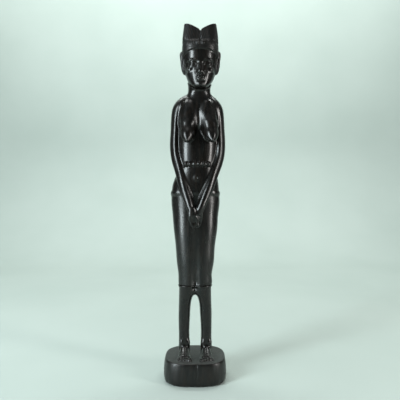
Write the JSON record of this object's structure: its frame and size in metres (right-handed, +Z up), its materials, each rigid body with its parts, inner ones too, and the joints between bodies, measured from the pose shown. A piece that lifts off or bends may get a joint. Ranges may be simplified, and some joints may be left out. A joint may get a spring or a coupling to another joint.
{
  "type": "carved ancestor figure",
  "caption": "Slender standing woman carved in dark wood on a rounded plinth, hands joined below the belly, with a notched crest of hair and a string of beads at the waist.",
  "frame": {"origin": "centre of the plinth's underside", "axes": "+Z up the figure; -Y the way it faces; +X towards the figure's own left"},
  "size_m": [0.0782, 0.0682, 0.4437],
  "materials": {
    "polished_blackwood": "wax-polished blackwood, satin to glossy",
    "hair_blackwood": "the same wood with fine carved lines, matte",
    "plinth_blackwood": "the same wood, satin sides and a dusty matte top"
  },
  "bodies": {
    "root": {"abdomen": "polished_blackwood", "chest": "polished_blackwood", "hair_band": "hair_blackwood", "head": "polished_blackwood", "left_breast": "polished_blackwood", "left_ear": "polished_blackwood", "left_foot": "polished_blackwood", "left_forearm": "polished_blackwood", "left_hair_lobe": "hair_blackwood", "left_hand": "polished_blackwood", "left_lower_leg": "polished_blackwood", "left_upper_arm": "polished_blackwood", "neck": "polished_blackwood", "plinth": "plinth_blackwood", "right_breast": "polished_blackwood", "right_ear": "polished_blackwood", "right_foot": "polished_blackwood", "right_forearm": "polished_blackwood", "right_hair_lobe": "hair_blackwood", "right_hand": "polished_blackwood", "right_lower_leg": "polished_blackwood", "right_upper_arm": "polished_blackwood", "waist_beads": "polished_blackwood", "wrap_skirt": "polished_blackwood", "wrap_waistband": "polished_blackwood"}
  },
  "joints": []
}
